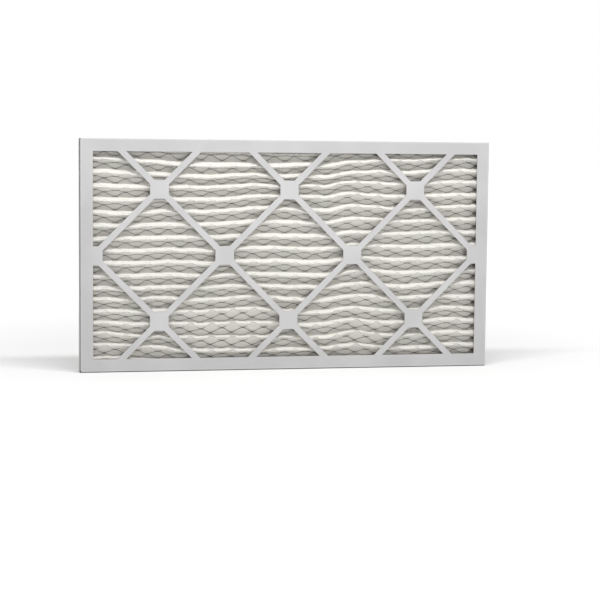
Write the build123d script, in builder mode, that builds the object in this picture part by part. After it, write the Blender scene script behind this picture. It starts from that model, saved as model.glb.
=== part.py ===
from build123d import *
import os
from math import asin, atan2, ceil, hypot, sin, tan

# Pleated panel air filter for a nominal 14 x 25 x 1 in filter slot.
# Two die-cut board trays, cut on one die, are glued face to face round their walls.
# They sit one wall apart on the diagonal: the front tray laps outside at the top and the
# right, the back tray at the bottom and the left.
# Between them sits one sheet of filter cloth, folded into level pleats, with a sheet
# of expanded metal laminated to its front side that holds the pleats apart.
# X runs along the length, Y through the depth (front face towards -Y), Z up.
# The origin is the middle of the long edge that the filter stands on.

# ---- Driving dimensions, mm ----
panel_length = 622.3
panel_height = 342.9
panel_depth = 19.05

board_thickness = 0.7
fold_inside_radius = 0.1  # inside of a scored and folded board edge
corner_slit = 0.3         # between the ends of two walls that meet at a corner
glue_line = 0.1           # between the walls of the nested trays, at least the inside radius

rim_width = 19.0          # board left round the windows
strip_width = 9.2         # diagonal strips of the diamond grid
pad_size = 28.0           # square pads where strips cross
diamonds_across = 3       # whole diamonds along the length

pleat_count = 18
cloth_thickness = 1.0
cloth_fold_radius = 0.25  # inside of a pleat's fold
cloth_end_clearance = 0.4  # cloth and metal sheet to the tray walls

metal_thickness = 0.5
bond_line = 0.15          # adhesive between the cloth and the metal
strand_width = 1.0
diamond_long_way = 63.5   # one diamond to a pleat, twice the real opening each way

# ---- Worked-out sizes ----
half_depth = panel_depth / 2
mid_height = panel_height / 2
window_length = panel_length - 2 * rim_width
window_height = panel_height - 2 * rim_width
half_pitch_grid = window_length / (2 * diamonds_across)

fold_radius = fold_inside_radius + board_thickness
nesting = board_thickness + glue_line        # one tray wall inside the other
tray_length = panel_length - nesting
tray_height = panel_height - nesting
tray_shift = nesting / 2                     # of each tray, along and up or back and down
wall_depth = panel_depth - board_thickness   # walls stop on the other tray's board
wall_stack = board_thickness + nesting       # both walls together
room_length = panel_length - 2 * wall_stack
room_height = panel_height - 2 * wall_stack
room_depth = panel_depth - 2 * board_thickness

pack_length = room_length - 2 * cloth_end_clearance
pack_height = room_height - 2 * cloth_end_clearance - cloth_thickness
pleat_pitch = pack_height / pleat_count
half_pitch = pleat_pitch / 2
pack_bottom = mid_height - pack_height / 2

# Angle of a pleat's flank to the Y axis, for folds that just reach both boards:
# the rounded cloth folds at the back, the sharp metal folds at the front.
cloth_outer_radius = cloth_fold_radius + cloth_thickness
cloth_mid_radius = cloth_fold_radius + cloth_thickness / 2
sheet_stack = cloth_thickness + bond_line + metal_thickness
reach = room_depth - cloth_outer_radius
flank_angle = atan2(half_pitch, reach) + asin(
    (sheet_stack - cloth_outer_radius) / hypot(reach, half_pitch)
)
back_board_y = half_depth - board_thickness
cloth_back_y = back_board_y - cloth_outer_radius + cloth_mid_radius / sin(flank_angle)
cloth_front_y = cloth_back_y - half_pitch / tan(flank_angle)
cloth_half_y = cloth_thickness / 2 / sin(flank_angle)
metal_half_y = metal_thickness / 2 / sin(flank_angle)
metal_shift = (sheet_stack - (cloth_thickness + metal_thickness) / 2) / sin(flank_angle)


def window_pattern():
    """The diamond grid's windows: the whole opening less its strips and pads."""
    row_gap = 2 * half_pitch_grid
    strip_reach = 2 * hypot(window_height, window_height)
    with BuildSketch() as windows:
        Rectangle(window_length, window_height)
        with GridLocations(row_gap, 0, diamonds_across + 1, 1):
            Rectangle(strip_reach, strip_width, rotation=45, mode=Mode.SUBTRACT)
            Rectangle(strip_reach, strip_width, rotation=-45, mode=Mode.SUBTRACT)
            Rectangle(pad_size, pad_size, mode=Mode.SUBTRACT)
        with GridLocations(row_gap, row_gap, diamonds_across, 2):
            Rectangle(pad_size, pad_size, mode=Mode.SUBTRACT)
    return windows.sketch


def wall_profile(profile_plane):
    """Section of one folded wall: a lap on the face, the fold, then the wall.

    The plane's x points out of the tray and its y along the wall's depth.
    """
    lap = -2 * fold_radius
    with BuildSketch(profile_plane) as profile:
        with BuildLine():
            Polyline(
                (lap, 0),
                (0, 0),
                (0, wall_depth),
                (-board_thickness, wall_depth),
                (-board_thickness, board_thickness),
                (lap, board_thickness),
                close=True,
            )
        make_face()
        from_edge = profile.vertices().sort_by_distance((0, 0, 0))
        fillet(from_edge[0], fold_radius)
        from_edge = profile.vertices().sort_by_distance((-board_thickness, board_thickness, 0))
        fillet(from_edge[0], fold_inside_radius)
    return profile.sketch


def folded_tray(face_y, inward, shift):
    """One die-cut board tray: a windowed face with a folded wall on each side.

    The short walls stop clear of the other tray's long walls.
    """
    face_plane = Plane(
        (shift, face_y, mid_height + shift), x_dir=(1, 0, 0), z_dir=(0, inward, 0)
    )
    depth_axis = Vector(0, inward, 0)
    folded_length = tray_length - 2 * fold_radius
    short_wall = tray_height - 2 * (wall_stack + corner_slit)
    with BuildPart() as tray:
        with BuildSketch(face_plane):
            Rectangle(folded_length, tray_height - 2 * fold_radius)
            add(window_pattern(), mode=Mode.SUBTRACT)
        extrude(amount=board_thickness)
        for outward, span, folded_span, edge_distance in (
            (Vector(0, 0, 1), tray_length, folded_length, tray_height / 2),
            (Vector(0, 0, -1), tray_length, folded_length, tray_height / 2),
            (Vector(1, 0, 0), short_wall, short_wall, tray_length / 2),
            (Vector(-1, 0, 0), short_wall, short_wall, tray_length / 2),
        ):
            edge_point = face_plane.origin + outward * edge_distance
            profile_plane = Plane(
                edge_point, x_dir=outward, z_dir=outward.cross(depth_axis)
            )
            extrude(wall_profile(profile_plane), folded_span / 2, both=True)
            with BuildSketch(profile_plane):
                with Locations(
                    (-board_thickness / 2, (fold_radius + wall_depth) / 2)
                ):
                    Rectangle(board_thickness, wall_depth - fold_radius)
            extrude(amount=span / 2, both=True)
    return tray.part


def pleat_line(shift_y):
    """Zigzag of the pleats, bottom to top, shifted through the depth from mid-cloth.

    It starts and ends on the back board, where the sheet's ends are glued down.
    """
    return [
        ((cloth_front_y if fold % 2 else cloth_back_y) + shift_y, pack_bottom + fold * half_pitch)
        for fold in range(2 * pleat_count + 1)
    ]


def folded_sheet(shift_y, half_y):
    """Section of a sheet that follows the pleats with sharp folds."""
    with BuildSketch() as section:
        with BuildLine():
            Polyline(
                *pleat_line(shift_y - half_y),
                *reversed(pleat_line(shift_y + half_y)),
                close=True,
            )
        make_face()
    return section.sketch


def diamond_openings():
    """Openings of the expanded sheet seen square on, one row to each line of folds."""
    half_wide = diamond_long_way / 2
    half_tall = half_pitch
    side_distance = half_wide * half_tall / hypot(half_wide, half_tall)
    shrink = 1 - strand_width / 2 / side_distance
    columns = 2 * ceil(pack_length / diamond_long_way / 2) + 1
    with BuildSketch() as openings:
        with BuildSketch(mode=Mode.PRIVATE) as diamond:
            with BuildLine():
                Polyline(
                    (half_wide * shrink, 0),
                    (0, half_tall * shrink),
                    (-half_wide * shrink, 0),
                    (0, -half_tall * shrink),
                    close=True,
                )
            make_face()
        with GridLocations(diamond_long_way, pleat_pitch, columns, pleat_count + 1):
            add(diamond.sketch)
        with GridLocations(diamond_long_way, pleat_pitch, columns + 1, pleat_count):
            add(diamond.sketch)
    return openings.sketch


# ---- Back tray: its bottom and left walls lap outside the front tray's ----
with BuildPart() as back_frame:
    add(folded_tray(half_depth, -1, -tray_shift))

# ---- Front tray: its top and right walls lap outside the back tray's ----
with BuildPart() as front_frame:
    add(folded_tray(-half_depth, 1, tray_shift))

# ---- Pleated cloth: one sheet with rounded folds, its two ends flat on the back board ----
with BuildPart() as pleated_media:
    with BuildSketch(Plane.YZ.offset(-pack_length / 2)) as cloth_section:
        add(folded_sheet(0, cloth_half_y))
        corners = cloth_section.vertices().group_by(Axis.X)
        fillet(corners[0], cloth_outer_radius)
        corners = cloth_section.vertices().group_by(Axis.X)
        fillet(corners[-1].sort_by(Axis.Y)[1:-1], cloth_outer_radius)
        with Locations((0, mid_height)):
            Rectangle(room_depth, pack_height, mode=Mode.INTERSECT)
    extrude(amount=pack_length)

# ---- Expanded metal: a thin folded sheet with diamond openings ----
with BuildPart() as support_mesh:
    with BuildSketch(Plane.YZ.offset(-pack_length / 2)):
        add(folded_sheet(-metal_shift, metal_half_y))
    extrude(amount=pack_length)
    with BuildSketch(Plane.XZ.offset(-half_depth)):
        with Locations((0, mid_height)):
            add(diamond_openings())
    extrude(amount=panel_depth, mode=Mode.SUBTRACT)

back_frame.part.label = "back_frame"
front_frame.part.label = "front_frame"
pleated_media.part.label = "pleated_media"
support_mesh.part.label = "support_mesh"

os.makedirs("parts", exist_ok=True)
export_step(back_frame.part, "parts/back_frame.step")
export_step(front_frame.part, "parts/front_frame.step")
export_step(pleated_media.part, "parts/pleated_media.step")
export_step(support_mesh.part, "parts/support_mesh.step")
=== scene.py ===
import math

import bpy
import numpy as np
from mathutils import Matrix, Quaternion, Vector, noise


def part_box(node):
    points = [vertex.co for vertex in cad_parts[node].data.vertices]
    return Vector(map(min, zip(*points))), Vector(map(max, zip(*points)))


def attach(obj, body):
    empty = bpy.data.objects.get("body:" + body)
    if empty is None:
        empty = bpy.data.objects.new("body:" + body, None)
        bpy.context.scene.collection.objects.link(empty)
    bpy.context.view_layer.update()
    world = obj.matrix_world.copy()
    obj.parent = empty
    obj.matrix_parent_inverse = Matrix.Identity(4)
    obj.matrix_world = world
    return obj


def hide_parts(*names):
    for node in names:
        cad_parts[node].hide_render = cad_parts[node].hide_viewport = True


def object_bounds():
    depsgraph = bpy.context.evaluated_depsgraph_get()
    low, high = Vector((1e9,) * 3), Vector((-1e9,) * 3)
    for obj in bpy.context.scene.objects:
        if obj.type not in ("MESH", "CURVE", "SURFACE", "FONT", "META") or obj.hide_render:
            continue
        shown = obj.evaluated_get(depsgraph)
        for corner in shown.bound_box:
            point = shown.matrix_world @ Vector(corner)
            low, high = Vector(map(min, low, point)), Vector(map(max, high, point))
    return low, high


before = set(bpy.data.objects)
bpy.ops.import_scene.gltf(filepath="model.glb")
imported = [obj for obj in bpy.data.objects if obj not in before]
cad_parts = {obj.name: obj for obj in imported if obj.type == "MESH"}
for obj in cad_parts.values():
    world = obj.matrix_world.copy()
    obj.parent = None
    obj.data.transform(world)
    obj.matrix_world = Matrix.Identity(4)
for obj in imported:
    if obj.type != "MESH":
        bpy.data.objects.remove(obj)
cad_low, cad_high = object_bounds()

# ---- Board trays ----
# Two die-cut trays of clay-coated chipboard nest face to face, each a flat face with a
# diamond grid and four folded walls. The coating is white and satin on the outside;
# the cut edges, the wall ends and the insides are raw brown board.

MM = 0.001  # one millimetre in metres; sizes are written in mm

rim_width = 19.0
strip_half_width = 4.6
pad_half_size = 14.0
diamonds_across = 3
panel_middle = (cad_low.z + cad_high.z) / 2 / MM
window_half_length = cad_high.x / MM - rim_width
window_half_height = panel_middle - rim_width
node_step = window_half_length / diamonds_across  # half a diamond

skin_depth = 0.27      # deeper than the rounded outside of a fold, less than the board
face_lap = 4.0         # sideways faces further than this from the walls are die-cut
pressed_width = 1.5    # the die presses the face down beside its cuts
crease_inset = 1.5     # middle of the crease, from the wall's outside
crease_half_width = 0.8
rubbed_shaded_width = 0.9     # wear and painted shade along the folds
shaded_border = 70.0     # painted shade greys the coating towards the walls from this far in

coat_colour = (0.69, 0.688, 0.692, 1)
coat_shaded_and_grey = (0.585, 0.582, 0.588, 1)
fleck_colour = (0.50, 0.49, 0.48, 1)
pressed_colour = (0.47, 0.44, 0.41, 1)
crease_colour = (0.80, 0.80, 0.80, 1)
rubbed_shaded_colour = (0.43, 0.37, 0.31, 1)
scuffed_shaded_colour = (0.32, 0.285, 0.255, 1)
kraft_colour = (0.25, 0.165, 0.11, 1)
kraft_shade = (0.13, 0.085, 0.058, 1)
shadowed_wall_end_colour = (0.04, 0.025, 0.018, 1)


def put(tree, kind, inputs=None, **settings):
    """Add a node, set its properties, and set or link its inputs."""
    made = tree.nodes.new(kind)
    for name, value in settings.items():
        setattr(made, name, value)
    for name, value in (inputs or {}).items():
        if isinstance(value, bpy.types.NodeSocket):
            tree.links.new(value, made.inputs[name])
        else:
            made.inputs[name].default_value = value
    return made


def maths(tree, operation, *values):
    """A Math node's output, from numbers or sockets."""
    made = put(tree, "ShaderNodeMath", dict(enumerate(values)), operation=operation)
    return made.outputs[0]


def ramp(tree, value, low, high):
    """Smoothly 0 to 1 as value goes from low to high."""
    limits = {"Value": value, "From Min": low, "From Max": high}
    made = put(tree, "ShaderNodeMapRange", limits, interpolation_type="SMOOTHSTEP")
    return made.outputs[0]


def blend(tree, factor, first, second):
    """A colour mixed from first to second."""
    # Sockets 6 and 7 are a Mix node's two colours, and output 2 is the mixed one.
    made = put(tree, "ShaderNodeMix", {0: factor, 6: first, 7: second}, data_type="RGBA")
    return made.outputs[2]


def group_tree(name, inputs, outputs):
    """An empty node group whose inputs and outputs are all plain numbers."""
    tree = bpy.data.node_groups.new(name, "ShaderNodeTree")
    for labels, direction in ((inputs, "INPUT"), (outputs, "OUTPUT")):
        for label in labels:
            tree.interface.new_socket(
                label, in_out=direction, socket_type="NodeSocketFloat"
            )
    return tree, tree.nodes.new("NodeGroupInput"), tree.nodes.new("NodeGroupOutput")


def millimetres(tree, centre):
    """Object coordinates in mm: along, through and up, the first and last from centre."""
    place = put(tree, "ShaderNodeTexCoord").outputs["Object"]
    parts = put(tree, "ShaderNodeSeparateXYZ", {0: place}).outputs
    along = maths(tree, "MULTIPLY_ADD", parts[0], 1 / MM, -centre.x)
    through = maths(tree, "MULTIPLY", parts[1], 1 / MM)
    up = maths(tree, "MULTIPLY_ADD", parts[2], 1 / MM, -centre.z)
    return along, through, up


# How far a point of a tray's face lies inside the board: its distance to the nearest
# die-cut edge, worked out from the strips, the pads and the rim of the grid.
cut_edges, group_in, group_out = group_tree(
    "board_cut_edges", inputs=("Along", "Up"), outputs=("Distance",)
)


def edge_maths(operation, *values):
    """A Math node of the group for the cut edges."""
    return maths(cut_edges, operation, *values)


def near(value, offset, step):
    """Distance from value to the nearest of a row of marks, step * 2 apart."""
    moved = edge_maths("SUBTRACT", value, offset)
    return edge_maths("ABSOLUTE", edge_maths("WRAP", moved, step, -step))


along, up = group_in.outputs["Along"], group_in.outputs["Up"]
diagonal = math.sqrt(0.5)
diagonal_step = node_step * diagonal
rising = edge_maths("MULTIPLY", edge_maths("SUBTRACT", along, up), diagonal)
falling = edge_maths("MULTIPLY", edge_maths("ADD", along, up), diagonal)
strip_line = edge_maths(
    "MINIMUM",
    near(rising, diagonal_step, diagonal_step),
    near(falling, diagonal_step, diagonal_step),
)
# Pads of the middle row stand at odd steps along, those of the outer rows at even steps.
middle_row = edge_maths(
    "MAXIMUM", near(along, node_step, node_step), near(up, 0, node_step)
)
outer_rows = edge_maths(
    "MAXIMUM", near(along, 0, node_step), near(up, node_step, node_step)
)
pad_line = edge_maths("MINIMUM", middle_row, outer_rows)
in_strip = edge_maths("SUBTRACT", strip_half_width, strip_line)
in_pad = edge_maths("SUBTRACT", pad_half_size, pad_line)
in_grid = edge_maths("MAXIMUM", in_strip, in_pad)
in_rim = edge_maths(
    "MAXIMUM",
    edge_maths("SUBTRACT", edge_maths("ABSOLUTE", along), window_half_length),
    edge_maths("SUBTRACT", edge_maths("ABSOLUTE", up), window_half_height),
)
in_board = edge_maths("MAXIMUM", in_grid, in_rim)
cut_edges.links.new(in_board, group_out.inputs["Distance"])

# Paper fibre: short flecks that run mostly along the board, and a soft cloudiness.
paper_fibre, group_in, group_out = group_tree(
    "paper_fibre", inputs=("Scale",), outputs=("Fleck", "Cloud")
)
place = put(paper_fibre, "ShaderNodeTexCoord").outputs["Object"]
stretched = put(paper_fibre, "ShaderNodeMapping", {"Vector": place, "Scale": (0.35, 1, 1)})
fleck = put(
    paper_fibre,
    "ShaderNodeTexNoise",
    {
        "Vector": stretched.outputs[0],
        "Scale": group_in.outputs["Scale"],
        "Detail": 3.0,
        "Roughness": 0.6,
        "Distortion": 0.4,
    },
)
cloud = put(
    paper_fibre, "ShaderNodeTexNoise", {"Vector": place, "Scale": 14.0, "Detail": 2.0}
)
paper_fibre.links.new(fleck.outputs[0], group_out.inputs["Fleck"])
paper_fibre.links.new(cloud.outputs[0], group_out.inputs["Cloud"])


def board_material(name, face_side, centre, half_size):
    """Coated outside, raw brown inside and on the cut edges, for one tray.

    face_side is -1 for a face at the front and 1 for one at the back.
    """
    finish = bpy.data.materials.new(name)
    finish.use_nodes = True
    tree = finish.node_tree
    shader = tree.nodes["Principled BSDF"]

    # Raw board shows below the skin, on the ends of the walls and on the die-cut edges.
    along, through, up = millimetres(tree, centre)
    normal = put(tree, "ShaderNodeTexCoord").outputs["Normal"]
    facing = put(tree, "ShaderNodeSeparateXYZ", {0: normal}).outputs[1]
    face_plane = face_side * cad_high.y / MM
    to_face = maths(tree, "ABSOLUTE", maths(tree, "SUBTRACT", through, face_plane))
    to_side = maths(tree, "SUBTRACT", half_size.x, maths(tree, "ABSOLUTE", along))
    to_top = maths(tree, "SUBTRACT", half_size.z, maths(tree, "ABSOLUTE", up))
    to_wall = maths(tree, "MINIMUM", to_side, to_top)
    to_outside = maths(tree, "MINIMUM", to_face, to_wall)
    below_skin = maths(tree, "GREATER_THAN", to_outside, skin_depth)
    wall_end = maths(tree, "LESS_THAN", maths(tree, "MULTIPLY", facing, face_side), -0.5)
    sideways = maths(tree, "LESS_THAN", maths(tree, "ABSOLUTE", facing), 0.5)
    off_walls = maths(tree, "GREATER_THAN", to_wall, face_lap)
    cut_face = maths(tree, "MULTIPLY", sideways, off_walls)
    raw = maths(tree, "MAXIMUM", maths(tree, "MAXIMUM", below_skin, wall_end), cut_face)

    # Marks of the making and of wear, each from 0 to 1; the rubbed folds and the scuffed
    # walls also carry painted shade.
    edges = put(tree, "ShaderNodeGroup", {"Along": along, "Up": up}, node_tree=cut_edges)
    paper = put(tree, "ShaderNodeGroup", {"Scale": 900.0}, node_tree=paper_fibre)
    fleck, cloud = paper.outputs["Fleck"], paper.outputs["Cloud"]
    ragged = maths(tree, "MULTIPLY_ADD", fleck, 1.1, edges.outputs["Distance"])
    pressed = maths(tree, "SUBTRACT", 1, ramp(tree, ragged, 0.55, pressed_width))
    off_crease = maths(tree, "ABSOLUTE", maths(tree, "SUBTRACT", to_wall, crease_inset))
    crease = maths(tree, "SUBTRACT", 1, ramp(tree, off_crease, 0.1, crease_half_width))
    # Painted shade: the folds by the walls are darkened brown, partly rubbed wear and
    # partly the shadow of the gap beside the wall ends.
    by_wall = maths(tree, "SUBTRACT", 1, ramp(tree, to_wall, 0, rubbed_shaded_width))
    rubbed_and_shaded = maths(tree, "MULTIPLY", by_wall, ramp(tree, fleck, 0.42, 0.62))
    # Painted shade: the walls and cut edges are darkened in brown patches, partly scuffs
    # and partly the shade of walls that face away from the lamp.
    scuffed_and_shaded = maths(tree, "MULTIPLY", sideways, ramp(tree, fleck, 0.2, 0.6))

    # Painted shade: the coating is painted greyer towards the walls, darker at the rims
    # than in the middle. The soft clouds are the coating's own uneven grey.
    off_shaded_border = ramp(tree, to_wall, face_lap, shaded_border)
    unshaded_and_even = maths(tree, "MULTIPLY_ADD", off_shaded_border, 0.6, -0.2)
    unshaded_and_even = maths(tree, "MULTIPLY_ADD", ramp(tree, cloud, 0.3, 0.7), 0.6, unshaded_and_even)
    coat = blend(tree, unshaded_and_even, coat_shaded_and_grey, coat_colour)
    for mark, strength, tint in (
        (fleck, 0.10, fleck_colour),
        (pressed, 0.35, pressed_colour),
        (crease, 0.30, crease_colour),
        (rubbed_and_shaded, 0.45, rubbed_shaded_colour),
        (scuffed_and_shaded, 0.16, scuffed_shaded_colour),
    ):
        coat = blend(tree, maths(tree, "MULTIPLY", mark, strength), coat, tint)
    kraft = blend(tree, ramp(tree, fleck, 0.3, 0.75), kraft_shade, kraft_colour)
    # Painted shadow: the ends of the walls are darkened nearly to black over the raw board,
    # for the shadowed gap between the trays.
    kraft = blend(tree, maths(tree, "MULTIPLY", wall_end, 0.92), kraft, shadowed_wall_end_colour)
    tree.links.new(blend(tree, raw, coat, kraft), shader.inputs["Base Color"])

    sheen = maths(tree, "MULTIPLY_ADD", cloud, 0.12, 0.42)
    dull = maths(tree, "MULTIPLY_ADD", pressed, 0.15, sheen)
    rough = maths(tree, "MAXIMUM", dull, maths(tree, "MULTIPLY", raw, 0.88))
    tree.links.new(rough, shader.inputs["Roughness"])
    shader.inputs["Specular IOR Level"].default_value = 0.4

    height = maths(tree, "MULTIPLY_ADD", cloud, 0.6, maths(tree, "MULTIPLY", fleck, 0.12))
    height = maths(tree, "MULTIPLY_ADD", pressed, -0.25, height)
    height = maths(tree, "MULTIPLY_ADD", crease, -0.12, height)
    relief = {"Height": height, "Strength": 0.35, "Distance": 0.3 * MM}
    bump = put(tree, "ShaderNodeBump", relief)
    tree.links.new(bump.outputs[0], shader.inputs["Normal"])
    return finish


for node, name, side in (
    ("front_frame", "coated_board_front", -1),
    ("back_frame", "coated_board_back", 1),
):
    low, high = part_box(node)
    finish = board_material(name, side, (low + high) / 2 / MM, (high - low) / 2 / MM)
    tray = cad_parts[node]
    tray.data.materials.clear()
    tray.data.materials.append(finish)

# ---- Pleated cloth ----
# One sheet of nonwoven polyester, folded into eighteen level pleats. It is glued to the
# expanded metal in front of it, so it puffs out a little through every opening, and its
# folds wave where they were pushed about before the boards went on.

pleat_count = 18
flank_count = 2 * pleat_count
cloth_length = 618.5     # the room between the tray walls, less clearance
pack_height = 338.1      # from the lowest fold to the highest
first_fold = 2.4         # height of the lowest fold
half_pitch = pack_height / flank_count
front_fold_y = -7.5
back_fold_y = 8.35
back_raise = 0.6         # how far the back folds lie above the even zigzag
flank_flat = 20.0        # flat width of one flank
fold_bend = 12.0         # how widely the folds bend, as the curve's pull there
front_lean = 16.0        # degrees that the front folds lean back

opening_long = 31.75     # one opening of the expanded metal, along the pleats
joint_inset = 35.0       # of one of the metal's joints from the cloth's left side
opening_start = joint_inset - cloth_length / 2
joint_offset = 0.08      # how far the metal's joints lie above the folds, in flanks

# Waves of the folds and crumples of the cloth: height, length in mm and seed of each.
fold_waves = ((1.5, 62.0, 3.5), (0.8, 21.0, 8.5), (0.4, 8.0, 21.5))
crumples = ((1.0, 9.0, 1.5), (0.7, 4.5, 5.5))
back_wave_share = 0.8    # of the front folds' waves
wave_likeness = 0.37     # the smaller, the more alike are folds beside each other
fold_recess = 0.6        # how far folds draw in from their boards here and there
recess_length, recess_seed = 48.0, 14.5

puff_height = 0.52       # of the cloth in the middle of an opening
puff_roundness = 0.75    # the smaller, the fuller
cloth_set_back = 0.25    # of the cloth under the strands
crumple_height = 0.25    # under the strands
crumple_in_puff = 0.35   # added to that in the middle of a puff
plain_end = 0.25         # of the sheet's ends, where they are glued flat, in flanks

# The cloth's fluff covers the metal round the front folds, from below them to above, in
# flanks, and there the strands are painted the cloth's white, partly a painted highlight
# where the lamp lights the folds. It covers less below each joint, where the strands show
# through it.
fluff_below, fluff_above, fluff_fade = 0.38, 0.6, 0.2
fluff_height = 0.2
joint_reach, joint_fade = 7.5, 3.0  # beside a joint
joint_top_fade = 0.07    # above a joint, in flanks
joint_showing = 0.48

# The cloth's mesh.
cloth_columns = 250
rows_to_flank = 10
row_gather = 0.5         # how much closer the rows lie at the folds
fold_samples = 1237      # places along each fold where its run is worked out
front_limit, back_limit = -8.3, 8.45  # of the cloth's depth, inside the boards
edge_limit = 2.0         # of its height, from the top and the bottom of the panel

# Where the whole sheet has been pushed up or down: mm, with the middle of the push
# along and up, and its reach each way.
sheet_pushes = (
    (2.5, -30, 232, 60, 45),
    (4.0, -60, 88, 70, 28),
    (2.0, 255, 170, 55, 200),
    (1.6, 88, 262, 25, 40),
    (2.4, 88, 50, 30, 40),
    (-2.5, 175, 120, 45, 90),
    (-2.5, -110, 152, 40, 35),
    (-1.6, 45, 290, 30, 25),
    (2.4, -292, 298, 30, 22),
    (3.0, -292, 44, 30, 24),
    (1.0, -190, 200, 30, 60),
    (-1.6, -95, 300, 40, 22),
    (-1.6, 90, 300, 50, 22),
    (-1.4, 38, 170, 45, 50),
    (2.6, -195, 105, 25, 30),
    (2.4, -200, 38, 30, 14),
    (1.5, 40, 38, 60, 14),
    (1.5, 240, 110, 20, 60),
    (-1.0, -235, 140, 22, 60),
    (1.8, 90, 250, 14, 70),
    (2.6, 118, 240, 60, 90),
    (-2.2, 62, 268, 18, 55),
    (1.0, -262, 24, 60, 24),
    (1.8, 92, 80, 14, 50),
)
# The same for the front folds alone.
front_pushes = (
    (6, -290, 40, 70, 50),
    (-5, -250, 210, 150, 90),
    (-9, -20, 322, 140, 32),
    (-4, -160, 312, 60, 30),
    (2.2, 118, 240, 60, 90),
    (5, 285, 250, 90, 90),
    (-4, 40, 60, 55, 120),
    (4, 112, 60, 30, 120),
    (5.5, -262, 10, 55, 16),
    (2, -262, 34, 55, 14),
)
# The same for the back folds, which sag low in the middle of the sheet's lower half.
back_pushes = (
    (4, -290, 40, 60, 50),
    (-3, -250, 210, 150, 90),
    (-5, -20, 322, 150, 40),
    (-7, -85, 62, 95, 40),
    (-4, 120, 45, 120, 30),
    (3, 285, 250, 90, 90),
)
# Where the front folds lean back further, degrees: the flank below hangs out in front.
leans = (
    (42, -85, 62, 100, 45),
    (24, 110, 48, 120, 32),
)


def push(x, z, pushes):
    """Total push at a place, mm."""
    return sum(
        rise * np.exp(-(((x - along) / reach) ** 2) - ((z - up) / spread) ** 2)
        for rise, along, up, reach, spread in pushes
    )


def ripple(x, rows, length, seed):
    """Smooth waviness along each fold, about -1 to 1."""
    gain = 1.6  # the noise by itself stays within about 0.6
    return np.array(
        [
            [noise.noise(Vector((a / length, row * wave_likeness, seed))) * gain for a in x]
            for row in rows
        ]
    )


def fold_lines(x):
    """Where each fold runs and how it bends: four arrays of every fold and every x."""
    fold = np.arange(flank_count + 1)
    level = np.repeat((first_fold + half_pitch * fold)[:, None], len(x), axis=1)
    front = (fold % 2 == 1)[:, None]
    glued_down = ((fold == 0) | (fold == flank_count))[:, None]
    waves = sum(
        size * ripple(x, fold, length, seed) for size, length, seed in fold_waves
    )
    height = level + push(x, level, sheet_pushes) + np.where(
        front,
        push(x, level, front_pushes) + waves,
        push(x, level, back_pushes) + back_wave_share * waves + back_raise,
    )
    height = np.where(glued_down, level, height)
    recess = fold_recess * np.abs(ripple(x, fold, recess_length, recess_seed))
    depth = np.where(front, front_fold_y + recess, back_fold_y - recess / 2)
    lean = np.where(front, np.radians(front_lean + push(x, level, leans)), 0)
    return depth, height, fold_bend * np.sin(lean), fold_bend * np.cos(lean)


column_x = np.linspace(-cloth_length / 2, cloth_length / 2, fold_samples)
fold_table = fold_lines(column_x)


def at_fold(fold, x):
    """A fold's depth and height at x, and the direction in which the sheet passes it."""
    place = (x - column_x[0]) / (column_x[1] - column_x[0])
    left = np.clip(place.astype(int), 0, len(column_x) - 2)
    share = np.clip(place - left, 0, 1)
    return [
        line[fold, left] * (1 - share) + line[fold, left + 1] * share
        for line in fold_table
    ]


def between(start, end, s):
    """Curve from one fold to the next: s runs from 0 to 1."""
    from_start, start_pull = (1 + 2 * s) * (1 - s) ** 2, s * (1 - s) ** 2
    from_end, end_pull = s**2 * (3 - 2 * s), s**2 * (s - 1)
    return [
        from_start * start[axis] + start_pull * start[axis + 2]
        + from_end * end[axis] + end_pull * end[axis + 2]
        for axis in (0, 1)
    ]


def even_steps(fold):
    """For the flank above a fold: the curve's s for even steps of length up the cloth."""
    s = np.linspace(0, 1, 101)
    middle = np.zeros(len(s))
    folds = np.full(len(s), fold)
    depth, height = between(at_fold(folds, middle), at_fold(folds + 1, middle), s)
    steps = np.hypot(np.diff(depth), np.diff(height))
    length = np.concatenate([[0], np.cumsum(steps)])
    return length / length[-1], s


# A flank that runs forwards and one that runs back, both at the middle of the pack.
forward_steps, back_steps = even_steps(pleat_count), even_steps(pleat_count + 1)


def pleat_surface(x, t):
    """A point of the pleated surface: x along, t counted in flanks from the bottom."""
    fold = np.clip(np.floor(t).astype(int), 0, flank_count - 1)
    s = np.where(
        fold % 2 == 0,
        np.interp(t - fold, *forward_steps),
        np.interp(t - fold, *back_steps),
    )
    depth, height = between(at_fold(fold, x), at_fold(fold + 1, x), s)
    return np.stack([x, depth, height], axis=-1)


def lifted_surface(x, t, lift):
    """The pleated surface in mm, lifted towards the front by lift."""
    step_x, step_t = 0.8, 0.02
    over_x = pleat_surface(x + step_x, t) - pleat_surface(x - step_x, t)
    above, below = np.minimum(t + step_t, flank_count), np.maximum(t - step_t, 0)
    over_t = pleat_surface(x, above) - pleat_surface(x, below)
    out = np.cross(over_x, over_t)
    out /= np.linalg.norm(out, axis=-1, keepdims=True)
    return pleat_surface(x, t) + out * lift[:, None]


def fluff_and_lit_cover(x, t):
    """How far the cloth's fluff covers the metal, 0 to 1, and how far the strands are
    painted light there.
    """
    above = (t % 2) - 1
    from_below = np.clip((above + fluff_below) / fluff_fade, 0, 1)
    from_above = np.clip((fluff_above - above) / fluff_fade, 0, 1)
    along = (x - opening_start) / opening_long
    beside = np.abs(along - np.rint(along)) * opening_long
    over_joint = above - joint_offset
    under_joint = np.clip((joint_top_fade - over_joint) / joint_top_fade, 0, 1)
    by_joint = np.clip((joint_reach - beside) / joint_fade, 0, 1)
    return from_below * from_above * (1 - joint_showing * under_joint * by_joint)


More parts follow.
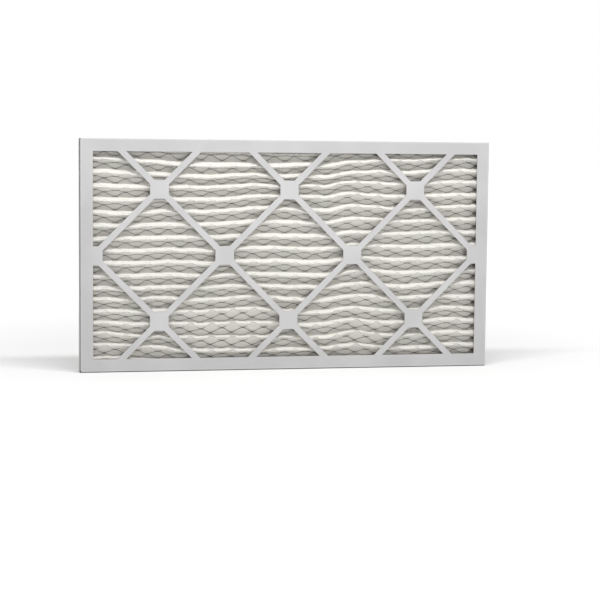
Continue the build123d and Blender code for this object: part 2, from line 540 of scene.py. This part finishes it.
bpy.ops.object.select_all(action="DESELECT")
bpy.ops.mesh.primitive_grid_add(
    x_subdivisions=cloth_columns, y_subdivisions=flank_count * rows_to_flank, size=1
)
cloth = bpy.context.object
cloth.name = "pleated_cloth"
flat = np.array([v.co[:] for v in cloth.data.vertices])
cloth_x = flat[:, 0] * cloth_length
even_t = (flat[:, 1] + 0.5) * flank_count
cloth_t = even_t - row_gather * np.sin(2 * math.pi * even_t) / (2 * math.pi)

# The cloth's own map runs from 0 to 1 along and up the flat sheet.
corners = np.empty(len(cloth.data.loops), dtype=int)
cloth.data.loops.foreach_get("vertex_index", corners)
on_sheet = np.stack([flat[corners, 0] + 0.5, cloth_t[corners] / flank_count], axis=-1)
cloth_map = cloth.data.uv_layers[0]
cloth_map.uv.foreach_set("vector", on_sheet.ravel())

# The metal's strands run where either diagonal of the diamond pattern is whole.
across = (cloth_x - opening_start) / opening_long
rising_strands = across + cloth_t - joint_offset
falling_strands = across - cloth_t + joint_offset
puff = np.abs(np.sin(math.pi * rising_strands) * np.sin(math.pi * falling_strands))
puff = puff**puff_roundness
crumple = np.array(
    [
        sum(
            height * noise.noise(Vector((x / length, t * flank_flat / length, seed)))
            for height, length, seed in crumples
        )
        for x, t in zip(cloth_x, cloth_t)
    ]
)
lift = (
    puff_height * puff
    + fluff_height * fluff_and_lit_cover(cloth_x, cloth_t)
    - cloth_set_back
    + (crumple_height + crumple_in_puff * puff) * crumple
)
off_ends = np.clip(np.minimum(cloth_t, flank_count - cloth_t) / plain_end, 0, 1)
places = lifted_surface(cloth_x, cloth_t, off_ends * lift)
places[:, 1] = np.clip(places[:, 1], front_limit, back_limit)
places[:, 2] = np.clip(places[:, 2], edge_limit, 2 * panel_middle - edge_limit)
cloth.data.vertices.foreach_set("co", (places * MM).ravel())
cloth.data.update()

# The sheet's faces are turned to its bare back side.
bpy.ops.object.mode_set(mode="EDIT")
bpy.ops.mesh.select_all(action="SELECT")
bpy.ops.mesh.flip_normals()
bpy.ops.object.mode_set(mode="OBJECT")
bpy.ops.object.shade_smooth()

cloth_colour = (0.945, 0.928, 0.882, 1)
cloth_shade = (0.88, 0.858, 0.805, 1)
cloth_tint = (0.83, 0.84, 0.775, 1)  # in wide patches
cloth_finish = bpy.data.materials.new("filter_cloth")
cloth_finish.use_nodes = True
tree = cloth_finish.node_tree
shader = tree.nodes["Principled BSDF"]
uv = put(tree, "ShaderNodeUVMap", uv_map=cloth_map.name).outputs[0]
flat_size = (cloth_length, flank_count * flank_flat, 1)
on_cloth = put(tree, "ShaderNodeMapping", {"Vector": uv, "Scale": flat_size}).outputs[0]


def cloth_noise(scale, **settings):
    """Noise over the flat cloth, with its scale in cycles to a millimetre."""
    inputs = {"Vector": on_cloth, "Scale": scale, **settings}
    return put(tree, "ShaderNodeTexNoise", inputs).outputs[0]


web = cloth_noise(1.6, Detail=5.0, Roughness=0.65, Distortion=1.4)
tuft = cloth_noise(0.22, Detail=3.0)
patch = cloth_noise(0.018, Detail=2.0)
colour = blend(tree, ramp(tree, web, 0.3, 0.7), cloth_shade, cloth_colour)
tinted = maths(tree, "MULTIPLY", ramp(tree, patch, 0.45, 0.7), 0.5)
colour = blend(tree, tinted, colour, cloth_tint)
tree.links.new(colour, shader.inputs["Base Color"])
tree.links.new(maths(tree, "MULTIPLY_ADD", web, 0.1, 0.85), shader.inputs["Roughness"])
shader.inputs["Specular IOR Level"].default_value = 0.15
shader.inputs["Sheen Weight"].default_value = 0.25
shader.inputs["Sheen Roughness"].default_value = 0.6
height = maths(tree, "MULTIPLY_ADD", tuft, 2.0, maths(tree, "MULTIPLY", web, 0.6))
relief = {"Height": height, "Strength": 0.7, "Distance": 0.9 * MM}
bump = put(tree, "ShaderNodeBump", relief).outputs[0]
tree.links.new(bump, shader.inputs["Normal"])
shone_through = put(tree, "ShaderNodeBsdfTranslucent", {"Color": colour, "Normal": bump})
thin_cloth = put(
    tree, "ShaderNodeMixShader", {0: 0.3, 1: shader.outputs[0], 2: shone_through.outputs[0]}
)
tree.links.new(thin_cloth.outputs[0], tree.nodes["Material Output"].inputs["Surface"])
cloth.data.materials.append(cloth_finish)
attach(cloth, "root")
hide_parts("pleated_media")

# ---- Expanded metal ----
# A sheet of thin galvanised steel, slit and pulled open into flat diamonds, then glued to
# the front of the cloth and folded with it. Each strand turns a little out of the sheet's
# plane between its joints, as the pulling leaves it.

strand_width = 1.05
strand_thickness = 0.42
strand_lift = 0.55       # of the strands in front of the pleated surface
strand_turn = 0.35       # radians, halfway between two joints
strand_parts = 6         # lengths that a strand bends in
joint_flatness = 0.62    # 0 for straight strands, 1 for ones level at the joints
joint_gap = strand_width / 2 / flank_flat  # half a strand's width, in flanks
half_opening = opening_long / 2
openings_along = 20
merge_reach = 0.02
side_inset = 0.3         # of the metal's sides from the cloth's
end_inset = 0.03         # of its ends, in flanks

# One strand is one side of a diamond, half an opening along and half an opening up. It
# is bent while flat, with x in mm, y in flanks and z in mm through the sheet, and its
# ends are left open where it joins the next.
bpy.ops.object.select_all(action="DESELECT")
bpy.ops.mesh.primitive_cube_add(size=1, location=(0, 0, 0))
metal = bpy.context.object
metal.name = "expanded_metal"
bpy.ops.object.mode_set(mode="EDIT")
for part in range(1, strand_parts):
    bpy.ops.mesh.select_all(action="SELECT")
    bpy.ops.mesh.bisect(plane_co=(part / strand_parts - 0.5, 0, 0), plane_no=(1, 0, 0))
bpy.ops.mesh.select_all(action="DESELECT")
bpy.ops.object.mode_set(mode="OBJECT")
for face in metal.data.polygons:
    face.select = abs(face.normal.x) > 0.9
bpy.ops.object.mode_set(mode="EDIT")
bpy.ops.mesh.select_mode(type="FACE")
bpy.ops.mesh.delete(type="FACE")
bpy.ops.object.mode_set(mode="OBJECT")
for vertex in metal.data.vertices:
    share = vertex.co.x + 0.5
    climb = share - joint_flatness * math.sin(2 * math.pi * share) / (2 * math.pi)
    turn = strand_turn * math.sin(math.pi * share) ** 2
    wide, thick = vertex.co.y * strand_width, vertex.co.z * strand_thickness
    beside = wide * math.cos(turn) - thick * math.sin(turn)
    above = wide * math.sin(turn) + thick * math.cos(turn)
    middle = joint_gap + climb * (0.5 - 2 * joint_gap)
    vertex.co = (share * half_opening, middle + beside / flank_flat, above)

# The strand is mirrored to a peak, repeated along, mirrored to diamonds, repeated up.
mirror = metal.modifiers.new("return_strand", "MIRROR")
mirror.use_axis = (True, False, False)
mirror.merge_threshold = merge_reach
row = metal.modifiers.new("row", "ARRAY")
row.count = openings_along
row.use_relative_offset = False
row.use_constant_offset = True
row.constant_offset_displace = (opening_long, 0, 0)
row.use_merge_vertices = True
row.merge_threshold = merge_reach
lower_half = metal.modifiers.new("lower_half", "MIRROR")
lower_half.use_axis = (False, True, False)
lower_half.use_mirror_merge = False
sheet_rows = metal.modifiers.new("sheet_rows", "ARRAY")
sheet_rows.count = flank_count + 1
sheet_rows.use_relative_offset = False
sheet_rows.use_constant_offset = True
sheet_rows.constant_offset_displace = (0, 1, 0)
for modifier in ("return_strand", "row", "lower_half", "sheet_rows"):
    bpy.ops.object.modifier_apply(modifier=modifier)

# Cut to the cloth's size while it is flat, then folded with the cloth.
first_joint = opening_start - opening_long
bpy.ops.object.mode_set(mode="EDIT")
for edge, side in (
    ((-cloth_length / 2 + side_inset - first_joint, 0, 0), (-1, 0, 0)),
    ((cloth_length / 2 - side_inset - first_joint, 0, 0), (1, 0, 0)),
    ((0, end_inset - joint_offset, 0), (0, -1, 0)),
    ((0, flank_count - end_inset - joint_offset, 0), (0, 1, 0)),
):
    bpy.ops.mesh.select_all(action="SELECT")
    bpy.ops.mesh.bisect(plane_co=edge, plane_no=side, clear_outer=True, use_fill=True)
bpy.ops.object.mode_set(mode="OBJECT")
flat = np.array([v.co[:] for v in metal.data.vertices])
metal_x = flat[:, 0] + first_joint
metal_t = flat[:, 1] + joint_offset
places = lifted_surface(metal_x, metal_t, strand_lift + flat[:, 2])
metal.data.vertices.foreach_set("co", (places * MM).ravel())
fluff_and_lit = metal.data.attributes.new("fluff_and_lit", "FLOAT", "POINT")
fluff_and_lit.data.foreach_set("value", fluff_and_lit_cover(metal_x, metal_t))
metal.data.update()
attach(metal, "root")
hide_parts("support_mesh")

# Dull zinc with its bloom and spangle, painted the cloth's white round the front folds:
# partly the cloth's fibres over it, partly a painted highlight where the lamp lights it.
zinc_colour = (0.31, 0.31, 0.30, 1)
zinc_shade = (0.15, 0.15, 0.142, 1)
fluff_and_lit_colour = (0.92, 0.90, 0.85, 1)
metal_finish = bpy.data.materials.new("galvanised_steel")
metal_finish.use_nodes = True
tree = metal_finish.node_tree
shader = tree.nodes["Principled BSDF"]
place = put(tree, "ShaderNodeTexCoord").outputs["Object"]
bloom = put(tree, "ShaderNodeTexNoise", {"Vector": place, "Scale": 260.0, "Detail": 4.0})
bloom = bloom.outputs[0]
spangle = put(tree, "ShaderNodeTexVoronoi", {"Vector": place, "Scale": 420.0}).outputs[0]
dulled = maths(tree, "MULTIPLY_ADD", spangle, 0.3, ramp(tree, bloom, 0.35, 0.75))
zinc = blend(tree, dulled, zinc_shade, zinc_colour)
fluff_and_lit_share = put(tree, "ShaderNodeAttribute", attribute_name="fluff_and_lit").outputs["Fac"]
tree.links.new(blend(tree, fluff_and_lit_share, zinc, fluff_and_lit_colour), shader.inputs["Base Color"])
rough = maths(tree, "MULTIPLY_ADD", bloom, 0.25, 0.38)
tree.links.new(maths(tree, "MAXIMUM", rough, fluff_and_lit_share), shader.inputs["Roughness"])
tree.links.new(maths(tree, "SUBTRACT", 1, fluff_and_lit_share), shader.inputs["Metallic"])
relief = {"Height": bloom, "Strength": 0.3, "Distance": 0.1 * MM}
bump = put(tree, "ShaderNodeBump", relief)
tree.links.new(bump.outputs[0], shader.inputs["Normal"])
metal.data.materials.append(metal_finish)

# ---- Floor, light and camera ----
# A plain white floor and background, one long soft lamp above the front and an even fill
# from all round. The floor is painted a little darker near the object, a painted shade, and
# the camera sees it and the background brighter than the object does.

floor_size = 60
floor_gap = 0.2 * MM     # below the object
floor_near_shaded = (0.68, 0.68, 0.68, 1)
floor_far = (0.80, 0.80, 0.80, 1)
glow_near_shaded, glow_far = 0.2, 0.6  # added to what the camera sees of the floor
fill_level = 0.55        # of the background as a light, where 1 is white
lamp_place = Vector((0.0, -0.50, 1.26))
lamp_aim = Vector((0, 0, 0.2))
lamp_length, lamp_width = 0.9, 0.14
lamp_power = 12.7
camera_place = Vector((-0.5038, -2.4259, 0.3215))
camera_aim = Vector((0.0179, -0.0095, 0.1043))
camera_roll = 0.556      # degrees
camera_lens = 99.1


def seen_directly(tree):
    """1 for rays from the camera, or by way of gloss or glass, and 0 for light."""
    rays = put(tree, "ShaderNodeLightPath").outputs
    seen = maths(tree, "MAXIMUM", rays["Is Camera Ray"], rays["Is Glossy Ray"])
    return maths(tree, "MAXIMUM", seen, rays["Is Transmission Ray"])


bpy.ops.object.select_all(action="DESELECT")
bpy.ops.mesh.primitive_plane_add(size=floor_size, location=(0, 0, -floor_gap))
floor = bpy.context.object
floor.name = "floor"
floor_finish = bpy.data.materials.new("white_floor")
floor_finish.use_nodes = True
tree = floor_finish.node_tree
shader = tree.nodes["Principled BSDF"]
shader.inputs["Roughness"].default_value = 0.9
shader.inputs["Specular IOR Level"].default_value = 0.1
place = put(tree, "ShaderNodeTexCoord").outputs["Object"]
away = put(tree, "ShaderNodeVectorMath", {0: place}, operation="LENGTH").outputs["Value"]
# Painted shade: the floor is painted darker near the object and glows less there for the
# camera.
paint = blend(tree, ramp(tree, away, 0.2, 0.8), floor_near_shaded, floor_far)
tree.links.new(paint, shader.inputs["Base Color"])
glow_range = glow_far - glow_near_shaded
glow = maths(tree, "MULTIPLY_ADD", ramp(tree, away, 0.3, 1.6), glow_range, glow_near_shaded)
seen_glow = maths(tree, "MULTIPLY", seen_directly(tree), glow)
glowing = put(tree, "ShaderNodeEmission", {"Strength": seen_glow})
both = put(tree, "ShaderNodeAddShader", {0: shader.outputs[0], 1: glowing.outputs[0]})
tree.links.new(both.outputs[0], tree.nodes["Material Output"].inputs["Surface"])
floor.data.materials.append(floor_finish)

world = bpy.data.worlds.new("white_surround")
bpy.context.scene.world = world
world.use_nodes = True
tree = world.node_tree
background = tree.nodes["Background"]
background.inputs["Color"].default_value = (1, 1, 1, 1)
strength = maths(tree, "MULTIPLY_ADD", seen_directly(tree), 1 - fill_level, fill_level)
tree.links.new(strength, background.inputs["Strength"])

lamp_data = bpy.data.lights.new("soft_box", "AREA")
lamp_data.shape = "RECTANGLE"
lamp_data.size = lamp_length
lamp_data.size_y = lamp_width
lamp_data.energy = lamp_power
lamp = bpy.data.objects.new("soft_box", lamp_data)
bpy.context.collection.objects.link(lamp)
lamp.location = lamp_place
lamp.rotation_euler = (lamp_aim - lamp_place).to_track_quat("-Z", "Y").to_euler()

camera_data = bpy.data.cameras.new("camera")
camera_data.sensor_width = 36
camera_data.lens = camera_lens
camera = bpy.data.objects.new("camera", camera_data)
bpy.context.collection.objects.link(camera)
camera.location = camera_place
level = (camera_aim - camera_place).to_track_quat("-Z", "Y")
roll = Quaternion((0, 0, 1), math.radians(camera_roll))
camera.rotation_euler = (level @ roll).to_euler()
bpy.context.scene.camera = camera
bpy.context.scene.view_settings.view_transform = "Standard"
